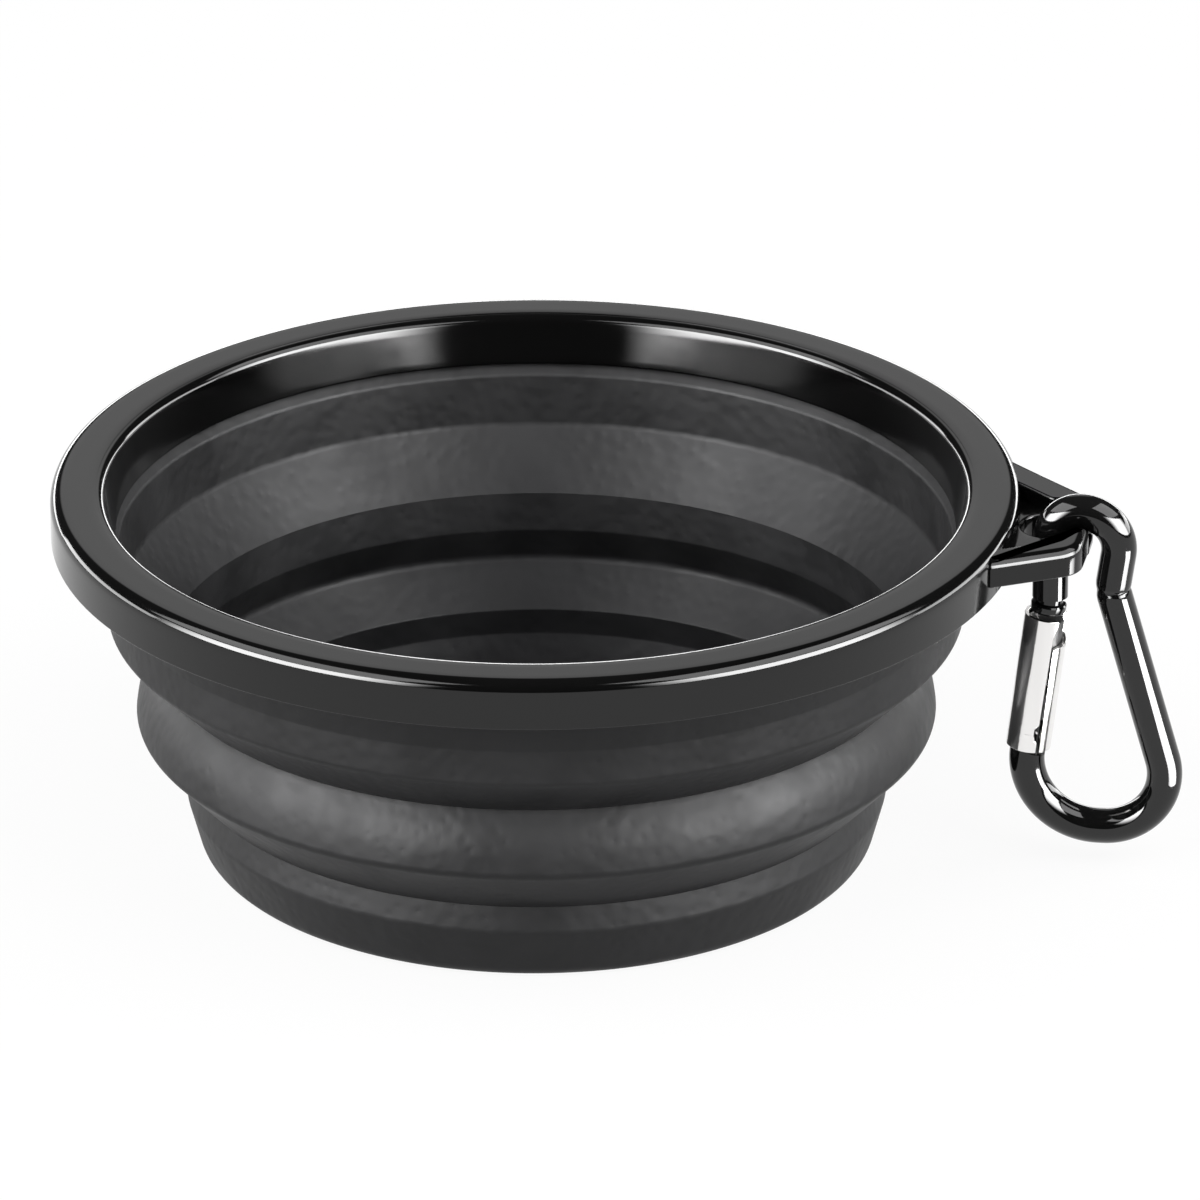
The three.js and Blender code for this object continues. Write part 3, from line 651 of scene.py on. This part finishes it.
def rim_ear():
    bm = bmesh.new()
    front_flange(bm)
    back_flange(bm)
    ear_web(bm)
    obj = finished("rim_ear", bm, GLOSS, Matrix.Rotation(EAR_AZIMUTH, 4, "Z"))
    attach(obj, "rim")


# Clip

CLIP_FRAME = Matrix.Rotation(EAR_AZIMUTH, 4, "Z") @ Matrix.Translation((CLIP_X, 0, CLIP_Z))
GATE_AXIS = Vector((math.sin(GATE_LEAN), math.cos(GATE_LEAN)))
GATE_FOOT = Vector(NOSE_END) - GATE_AXIS * (GATE_NOSE_GAP + GATE_LENGTH)
PIVOT = GATE_FOOT + GATE_AXIS * PIVOT_INSET
GATE_IN_CLIP = Matrix.Translation((PIVOT.x, 0, PIVOT.y)) @ Matrix.Rotation(GATE_LEAN, 4, "Y")
GATE_FRAME = CLIP_FRAME @ GATE_IN_CLIP


def loop_corner(point, side, bend):
    """Where a leg that runs up from a point, as a tangent of the loop, meets the loop's top."""
    x, y = point
    slope = math.atan2(-y, -x) + side * math.asin(LOOP_RADIUS / math.hypot(x, y))
    return (x + (LOOP_RADIUS - y) / math.tan(slope), LOOP_RADIUS, bend)


def wire_path():
    shoulder = GATE_FOOT - GATE_AXIS * GATE_SHOULDER_GAP
    neck = Vector(NOSE_END) + GATE_AXIS * (NOSE_HEAD + NOSE_GROOVE)
    gate_foot_x = shoulder.x - (shoulder.y + CLIP_DROP) * math.tan(GATE_LEAN)
    corners = [
        tuple(neck),
        loop_corner(neck, 1, LOOP_NOSE_ROUND),
        loop_corner(WAIST, -1, LOOP_SPINE_ROUND),
        (*WAIST, WAIST_ROUND),
        (*SPINE_FOOT, SPINE_ROUND),
        (gate_foot_x, -CLIP_DROP, GATE_SIDE_ROUND),
        tuple(shoulder),
    ]
    return densified(rounded(corners, BEND_STEPS), WIRE_STEP, False)


def wire_radii(path):
    """The wire's radius along its line, with the sharp kink that bending left at the waist."""
    waist = Vector(WAIST)
    radii = []
    for p in path:
        kink = math.exp(-((p - waist).length / WAIST_KINK_WIDTH) ** 2)
        radii.append(WIRE_RADIUS - WAIST_KINK * kink)
    return radii


def ease_shoulder(bm):
    """Slopes the wire's end below the gate, where the gate's foot swings down."""
    to_gate = GATE_IN_CLIP.inverted()
    shoulder_z = -PIVOT_INSET - GATE_SHOULDER_GAP
    for vertex in bm.verts:
        p = to_gate @ vertex.co
        if abs(p.z - shoulder_z) < WIRE_RADIUS and p.xy.length < 2 * WIRE_RADIUS:
            p.z = min(p.z, shoulder_z - max(p.x, 0) * math.tan(GATE_OPENING))
            vertex.co = GATE_IN_CLIP @ p


def nose_profile(bm):
    """The grooved nose above the gate's mouth, in line with the gate."""
    low = Vector(NOSE_END)
    steps = [
        (0.0, WIRE_RADIUS - 0.35),
        (0.12, WIRE_RADIUS - 0.1),
        (0.3, WIRE_RADIUS),
        (NOSE_HEAD - 0.2, WIRE_RADIUS),
        (NOSE_HEAD, WIRE_RADIUS - 0.15),
        (NOSE_HEAD + 0.15, NOSE_NECK_RADIUS),
        (NOSE_HEAD + NOSE_GROOVE + 0.6, NOSE_NECK_RADIUS),
    ]
    swept(bm, [low + GATE_AXIS * s for s, _ in steps], [r for _, r in steps], WIRE_SIDES)


def tongue(bm):
    """The wire's flat tongue inside the gate."""
    low = -PIVOT_INSET - GATE_SHOULDER_GAP - 1.0
    outline = rounded([
        (-TONGUE_HALF_WIDTH, -TONGUE_HALF_DEPTH, TONGUE_ROUND),
        (TONGUE_HALF_WIDTH, -TONGUE_HALF_DEPTH, TONGUE_ROUND),
        (TONGUE_HALF_WIDTH, TONGUE_HALF_DEPTH, TONGUE_ROUND),
        (-TONGUE_HALF_WIDTH, TONGUE_HALF_DEPTH, TONGUE_ROUND),
    ])
    kept = set(bm.verts)
    slab(bm, outline, low, TONGUE_TIP, [TONGUE_ROUND] * len(outline), TONGUE_ROUND)
    added = [v for v in bm.verts if v not in kept]
    bmesh.ops.transform(bm, matrix=GATE_IN_CLIP, verts=added)


def clip_wire():
    bm = bmesh.new()
    path = wire_path()
    swept(bm, path, wire_radii(path), WIRE_SIDES)
    ease_shoulder(bm)
    nose_profile(bm)
    tongue(bm)
    obj = finished("clip_wire", bm, ANODISED, CLIP_FRAME)
    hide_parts("clip_body")
    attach(obj, "clip")


# Gate

def sleeve_edges(z):
    """The angles of the rolled sleeve's two edges at a height: seam, slot at the mouth and notch."""
    top, foot = GATE_LENGTH - PIVOT_INSET, -PIVOT_INSET
    share = (top - z) / GATE_LENGTH
    half = SEAM_HALF_TOP + (SEAM_HALF_FOOT - SEAM_HALF_TOP) * smooth_step(share, 0.2, 0.8)
    slot = SLOT_SWEEP * (1 - smooth_step(top - z, SLOT_TOP, SLOT_FOOT))
    flare = MOUTH_FLARE * (1 - smooth_step(top - z, 0, SLOT_TOP))
    in_notch = smooth_step(z - foot, NOTCH_LOW, NOTCH_LOW + 0.4) * smooth_step(foot + NOTCH_HIGH - z, 0, 0.8)
    first = SEAM_AZIMUTH + half + slot
    last = SEAM_AZIMUTH - half + flare - NOTCH_SWEEP * in_notch + 2 * math.pi
    return first, last


def gate_sleeve():
    bm = bmesh.new()
    around = up = SLEEVE_STEPS
    top, foot = GATE_LENGTH - PIVOT_INSET, -PIVOT_INSET
    outer, bore = [], []
    for j in range(up + 1):
        z = foot + (top - foot) * j / up
        first, last = sleeve_edges(z)
        for rows, radius in ((outer, GATE_RADIUS), (bore, GATE_BORE)):
            row = []
            for k in range(around + 1):
                angle = first + (last - first) * k / around
                row.append(bm.verts.new((radius * math.cos(angle), radius * math.sin(angle), z)))
            rows.append(row)
    for j in range(up):
        for k in range(around):
            bm.faces.new((outer[j][k], outer[j][k + 1], outer[j + 1][k + 1], outer[j + 1][k]))
            bm.faces.new((bore[j][k + 1], bore[j][k], bore[j + 1][k], bore[j + 1][k + 1]))
        for k in (0, around):
            bm.faces.new((outer[j][k], outer[j + 1][k], bore[j + 1][k], bore[j][k]))
    for k in range(around):
        bm.faces.new((outer[0][k], bore[0][k], bore[0][k + 1], outer[0][k + 1]))
        bm.faces.new((outer[up][k], outer[up][k + 1], bore[up][k + 1], bore[up][k]))
    obj = finished("gate_tube", bm, SILVER, GATE_FRAME)
    bevel = obj.modifiers.new("soft_edges", "BEVEL")
    bevel.width = GATE_EDGE * MM
    bevel.segments = BEVEL_SEGMENTS
    bevel.limit_method = "ANGLE"
    bevel.angle_limit = BEVEL_ANGLE
    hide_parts("gate_sleeve")
    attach(obj, "gate")


def gate_insert():
    """The black plug that closes the gate's bore, seen in its mouth and through the slot."""
    bm = bmesh.new()
    high = GATE_LENGTH - PIVOT_INSET - INSERT_INSET
    steps = [
        (high - INSERT_LENGTH, INSERT_RADIUS),
        (high - 0.4, INSERT_RADIUS),
        (high - 0.1, INSERT_RADIUS - 0.15),
        (high, INSERT_RADIUS - 0.5),
    ]
    swept(bm, [Vector((0, s)) for s, _ in steps], [r for _, r in steps], WIRE_SIDES)
    obj = finished("gate_insert", bm, SATIN, GATE_FRAME)
    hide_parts("gate_plug")
    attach(obj, "gate")


def gate_pin():
    """The pin's riveted ends, polished almost level with the sleeve."""
    bm = bmesh.new()
    reach = GATE_RADIUS + PIN_PROUD
    steps = [
        (-reach, 0.3),
        (-reach + 0.02, 0.6),
        (-reach + 0.08, PIN_RADIUS),
        (reach - 0.08, PIN_RADIUS),
        (reach - 0.02, 0.6),
        (reach, 0.3),
    ]
    swept(bm, [Vector((0, s)) for s, _ in steps], [r for _, r in steps], WIRE_SIDES)
    obj = finished("gate_rivet", bm, SILVER, GATE_FRAME @ Matrix.Rotation(math.pi / 2, 4, "X"))
    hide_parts("gate_pin")
    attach(obj, "gate")


def dress_cad_nodes():
    """The spring and plunger inside the gate keep their CAD shape."""
    for name in ("gate_plunger", "gate_spring"):
        data = frame["nodes"][name].data
        data.materials.clear()
        data.materials.append(STEEL)


# Stage, light and camera

# Camera fitted to the photograph: its distance, height angle, roll and focal length in 1200 x 1200 pixels
CAMERA_DISTANCE = 1.2
CAMERA_ELEVATION = math.radians(25.75)
CAMERA_ROLL = math.radians(-0.26)
FOCAL_PIXELS = 8794.7
IMAGE_SIZE = 1200
SENSOR_WIDTH = 36
CLIP_END = 50
ORIGIN_PIXEL = (537.1, 826.9)

# Floor and room, and the height on the bowl that the lamps aim at
AIM_HEIGHT = 0.03
FLOOR_SIZE = 12
FLOOR_COLOUR = 0.95
FLOOR_BOUNCE = 0.2
FLOOR_GLOW = 0.93
ROOM_LEVEL = 0.04
PATCH_LEVEL = 0.75
PATCH_EDGE = math.radians(15)
PATCH_CORE = math.radians(8)


def floor():
    """A white floor that shows the object's faint shadow and throws little light back up."""
    bpy.ops.mesh.primitive_plane_add(size=FLOOR_SIZE)
    plane = bpy.context.object
    plane.name = "floor"
    material, tree, shader = new_material("floor_white", (FLOOR_COLOUR,) * 3, 0.9)
    shader.inputs["Specular IOR Level"].default_value = 0
    path = tree.nodes.new("ShaderNodeLightPath")
    seen = None
    for kind in ("Is Camera Ray", "Is Glossy Ray", "Is Transmission Ray"):
        if seen is None:
            seen = path.outputs[kind]
            continue
        either = tree.nodes.new("ShaderNodeMath")
        either.operation = "MAXIMUM"
        tree.links.new(seen, either.inputs[0])
        tree.links.new(path.outputs[kind], either.inputs[1])
        seen = either.outputs[0]
    colour = tree.nodes.new("ShaderNodeMix")
    colour.data_type = "RGBA"
    colour.inputs["A"].default_value = (*(FLOOR_BOUNCE,) * 3, 1)
    colour.inputs["B"].default_value = (*(FLOOR_COLOUR,) * 3, 1)
    tree.links.new(seen, colour.inputs["Factor"])
    tree.links.new(colour.outputs["Result"], shader.inputs["Base Color"])
    glow = tree.nodes.new("ShaderNodeEmission")
    share = tree.nodes.new("ShaderNodeMath")
    share.operation = "MULTIPLY"
    share.inputs[1].default_value = FLOOR_GLOW
    tree.links.new(seen, share.inputs[0])
    mix = tree.nodes.new("ShaderNodeMixShader")
    tree.links.new(share.outputs[0], mix.inputs["Fac"])
    tree.links.new(shader.outputs[0], mix.inputs[1])
    tree.links.new(glow.outputs[0], mix.inputs[2])
    tree.links.new(mix.outputs[0], tree.nodes["Material Output"].inputs["Surface"])
    plane.data.materials.append(material)


def world():
    """A dim room with one pale patch of wall behind the object, where the flat top of the rim mirrors it."""
    made = bpy.data.worlds.new("studio")
    bpy.context.scene.world = made
    made.use_nodes = True
    tree = made.node_tree
    place = tree.nodes.new("ShaderNodeTexCoord")
    toward = tree.nodes.new("ShaderNodeVectorMath")
    toward.operation = "DOT_PRODUCT"
    toward.inputs[1].default_value = (0, math.cos(CAMERA_ELEVATION), math.sin(CAMERA_ELEVATION))
    tree.links.new(place.outputs["Generated"], toward.inputs[0])
    behind = tree.nodes.new("ShaderNodeMapRange")
    behind.interpolation_type = "SMOOTHSTEP"
    behind.inputs["From Min"].default_value = math.cos(PATCH_EDGE)
    behind.inputs["From Max"].default_value = math.cos(PATCH_CORE)
    behind.inputs["To Min"].default_value = ROOM_LEVEL
    behind.inputs["To Max"].default_value = PATCH_LEVEL
    tree.links.new(toward.outputs["Value"], behind.inputs["Value"])
    tree.links.new(behind.outputs["Result"], tree.nodes["Background"].inputs["Strength"])
    tree.nodes["Background"].inputs["Color"].default_value = (1, 1, 1, 1)


def around(azimuth, elevation, distance):
    """A place round the bowl; azimuth 0 is in front and 90 to the right."""
    a, e = math.radians(azimuth), math.radians(elevation)
    heading = Vector((math.sin(a) * math.cos(e), -math.cos(a) * math.cos(e), math.sin(e)))
    return Vector((0, 0, AIM_HEIGHT)) + heading * distance


def area_lamp(name, place, aim, width, height, radiance, diffuse=True, gloss=True, spread_angle=180):
    data = bpy.data.lights.new(name, "AREA")
    data.shape = "RECTANGLE"
    data.size = width
    data.size_y = height
    data.energy = radiance * math.pi * width * height
    data.spread = math.radians(spread_angle)
    lamp = bpy.data.objects.new(name, data)
    lamp.location = place
    lamp.rotation_mode = "QUATERNION"
    lamp.rotation_quaternion = (place - aim).to_track_quat("Z", "Y")
    lamp.visible_camera = False
    lamp.visible_diffuse = diffuse
    lamp.visible_glossy = gloss
    bpy.context.scene.collection.objects.link(lamp)
    return data


def fade_ends(lamp):
    """Lets a lamp's brightness fall off towards its two ends, as on a softly lit card."""
    lamp.use_nodes = True
    tree = lamp.node_tree
    place = tree.nodes.new("ShaderNodeNewGeometry")
    split = tree.nodes.new("ShaderNodeSeparateXYZ")
    tree.links.new(place.outputs["Parametric"], split.inputs["Vector"])
    offset = tree.nodes.new("ShaderNodeMath")
    offset.operation = "SUBTRACT"
    offset.inputs[1].default_value = 0.5
    tree.links.new(split.outputs["X"], offset.inputs[0])
    distance = tree.nodes.new("ShaderNodeMath")
    distance.operation = "ABSOLUTE"
    tree.links.new(offset.outputs[0], distance.inputs[0])
    fade = tree.nodes.new("ShaderNodeMapRange")
    fade.interpolation_type = "SMOOTHSTEP"
    fade.inputs["From Min"].default_value = 0.5
    fade.inputs["From Max"].default_value = 0.15
    tree.links.new(distance.outputs[0], fade.inputs["Value"])
    tree.links.new(fade.outputs["Result"], tree.nodes["Emission"].inputs["Strength"])


def lights():
    """Two softboxes at the sides, a fill overhead, and bright cards that are seen only as reflections."""
    bowl = Vector((0, 0, AIM_HEIGHT))
    spine = Vector((0.081, -0.011, 0.024))
    for side, name in ((-1, "left"), (1, "right")):
        area_lamp(name + "_softbox", around(72 * side, 50, 1.3), bowl, 1.5, 0.7, 4.0)
        card = area_lamp(name + "_card", around(60 * side, 18, 1.25), bowl, 1.9, 0.6, 26, diffuse=False)
        fade_ends(card)
        area_lamp(name + "_back_card", around(116 * side, 10, 1.3), bowl, 1.0, 0.3, 8, diffuse=False)
    area_lamp("top_fill", around(0, 78, 1.4), bowl, 1.0, 1.0, 1.8, gloss=False)
    area_lamp("back_strip", Vector((0, 1.3, 0.12)), Vector((0, 0, 0.05)), 2.4, 0.17, 7, diffuse=False)
    spine_place = Vector((0.099, -0.025, 0.0205))
    area_lamp("spine_card", spine_place, spine, 0.016, 0.034, 8, diffuse=False, spread_angle=80)


def camera():
    data = bpy.data.cameras.new("camera")
    data.sensor_width = SENSOR_WIDTH
    data.lens = FOCAL_PIXELS / IMAGE_SIZE * data.sensor_width
    data.clip_end = CLIP_END
    obj = bpy.data.objects.new("camera", data)
    e = CAMERA_ELEVATION
    ahead = Vector((0, math.cos(e), -math.sin(e)))
    turned = Matrix.Rotation(-CAMERA_ROLL, 3, ahead)
    up = turned @ Vector((0, math.sin(e), math.cos(e)))
    right = ahead.cross(up)
    offset_x = (IMAGE_SIZE / 2 - ORIGIN_PIXEL[0]) / FOCAL_PIXELS
    offset_y = (ORIGIN_PIXEL[1] - IMAGE_SIZE / 2) / FOCAL_PIXELS
    aim = (ahead + right * offset_x + up * offset_y).normalized()
    across = aim.cross(up).normalized()
    above = across.cross(aim)
    turn = Matrix((across, above, -aim)).transposed().to_4x4()
    obj.matrix_world = Matrix.Translation(-ahead * CAMERA_DISTANCE) @ turn
    bpy.context.scene.collection.objects.link(obj)
    bpy.context.scene.camera = obj


upper_skin()
lower_skin()
rim_ring()
lock_ring()
rim_ear()
clip_wire()
gate_sleeve()
gate_insert()
gate_pin()
dress_cad_nodes()
floor()
world()
lights()
camera()
bpy.context.scene.view_settings.view_transform = "Standard"
